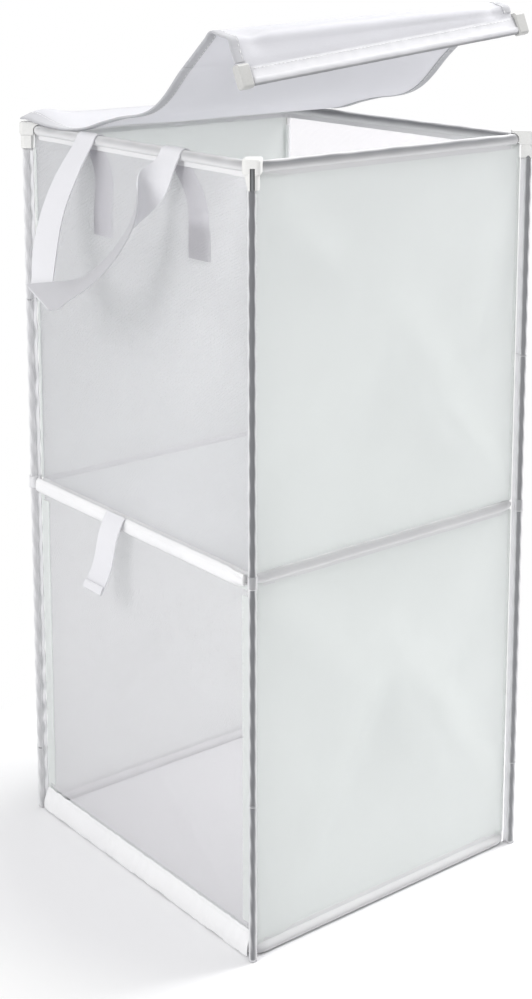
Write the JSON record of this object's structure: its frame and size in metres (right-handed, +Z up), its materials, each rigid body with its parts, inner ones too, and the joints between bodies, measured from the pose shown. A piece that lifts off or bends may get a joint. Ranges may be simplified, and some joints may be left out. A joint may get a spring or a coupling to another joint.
{
  "type": "laundry hamper with two bins",
  "caption": "Tall soft-sided laundry hamper with an upper and a lower bin, a rolled-back soft lid, a drop-front lower door and a webbing carry handle.",
  "frame": {"origin": "on the floor, under the middle of the body, on the underside of the base board", "axes": "+Z is up; the woven front wall faces -Y; the mesh side with the handle and the lower door faces -X; the lid is hinged along the top of the back wall, which faces +Y"},
  "size_m": [0.4535, 0.3836, 0.8635],
  "materials": {
    "steel": "zinc-plated steel rod, dull",
    "binding": "folded polyester binding, matte",
    "clip_plastic": "off-white moulded plastic, satin",
    "woven_cloth": "white woven polyester, lets light through",
    "mesh_cloth": "white fine mesh, sheer",
    "base_board": "stiff white sheet",
    "door_band": "stiffened white cloth band, matte",
    "fastener": "white hook and loop tape",
    "webbing": "white cotton webbing, matte",
    "lid_cloth": "white polyester cloth, matte"
  },
  "bodies": {
    "hamper": {"rim_rail_rod": "steel", "middle_rail_rod": "steel", "base_rail_rod": "steel", "front_left_post": "steel", "front_right_post": "steel", "back_right_post": "steel", "back_left_post": "steel", "rim_rail_piping": "binding", "middle_rail_piping": "binding", "base_rail_piping": "binding", "front_left_sleeve": "binding", "front_right_sleeve": "binding", "back_right_sleeve": "binding", "back_left_sleeve": "binding", "lid_hinge_tape": "binding", "front_left_clip": "clip_plastic", "front_right_clip": "clip_plastic", "back_right_clip": "clip_plastic", "back_left_clip": "clip_plastic", "upper_front_wall": "woven_cloth", "upper_back_wall": "woven_cloth", "lower_front_wall": "woven_cloth", "lower_back_wall": "woven_cloth", "middle_divider": "woven_cloth", "upper_left_mesh": "mesh_cloth", "upper_right_mesh": "mesh_cloth", "lower_right_mesh": "mesh_cloth", "base_board": "base_board", "door_sill_band": "door_band", "rail_fastener_strip": "fastener", "handle_back_leg": "webbing", "handle_front_leg": "webbing", "handle_back_patch": "webbing", "handle_front_patch": "webbing"},
    "lid_rear": {"lid_rear_panel": "lid_cloth"},
    "lid_middle": {"lid_middle_panel": "lid_cloth"},
    "lid_front": {"lid_front_panel": "lid_cloth"},
    "lid_crest": {"lid_crest_panel": "lid_cloth"},
    "lid_brow": {"lid_brow_panel": "lid_cloth"},
    "lid_flap": {"lid_hem_sleeve": "lid_cloth", "lid_bar": "steel", "lid_bar_left_cap": "clip_plastic", "lid_bar_right_cap": "clip_plastic"},
    "handle": {"handle_loop": "webbing"},
    "door": {"door_mesh": "mesh_cloth", "door_top_band": "door_band", "door_fastener_strip": "fastener", "door_front_hem": "door_band", "door_back_hem": "door_band"},
    "tab": {"pull_tab": "webbing"}
  },
  "joints": [
    {"name": "lid_hinge", "type": "hinge", "parent": "hamper", "child": "lid_rear", "pos_m": [0, 0.183, 0.7484], "axis": [-1, 0, 0], "range_deg": [0, 180]},
    {"name": "lid_unroll", "type": "hinge", "parent": "lid_rear", "child": "lid_middle", "pos_m": [0, 0.09114, 0.74326], "axis": [1, 0, 0], "range_deg": [0, 12.2]},
    {"name": "lid_unroll_upper", "type": "hinge", "parent": "lid_middle", "child": "lid_front", "pos_m": [0, -0.03245, 0.77248], "axis": [1, 0, 0], "range_deg": [0, 26.4]},
    {"name": "lid_crest_fold", "type": "hinge", "parent": "lid_front", "child": "lid_crest", "pos_m": [-0.166, -0.12132, 0.84626], "axis": [0.9971, -0.0589, 0.0489], "range_deg": [-51, 0]},
    {"name": "lid_brow_fold", "type": "hinge", "parent": "lid_crest", "child": "lid_brow", "pos_m": [-0.16531, -0.14535, 0.84154], "axis": [0.998, -0.031, 0.0545], "range_deg": [-58, 0]},
    {"name": "lid_flap_fold", "type": "hinge", "parent": "lid_brow", "child": "lid_flap", "pos_m": [-0.16332, -0.15215, 0.82068], "axis": [0.9949, -0.0139, 0.0994], "range_deg": [-2, 68]},
    {"name": "handle_swing", "type": "hinge", "parent": "hamper", "child": "handle", "pos_m": [-0.17135, 0.0035, 0.7345], "axis": [0, 1, 0], "range_deg": [0, 130]},
    {"name": "door_hinge", "type": "hinge", "parent": "hamper", "child": "door", "pos_m": [-0.1648, 0, 0.02517], "axis": [0, -1, 0], "range_deg": [0, 85]},
    {"name": "tab_swing", "type": "hinge", "parent": "door", "child": "tab", "pos_m": [-0.17555, 0.025, 0.3715], "axis": [0, 1, 0], "range_deg": [0, 150]}
  ],
  "couplings": [
    {"joint": "lid_unroll_upper", "follows": "lid_unroll", "ratio": 2.1639},
    {"joint": "lid_crest_fold", "follows": "lid_unroll", "ratio": -4.1803},
    {"joint": "lid_brow_fold", "follows": "lid_unroll", "ratio": -4.7541}
  ]
}
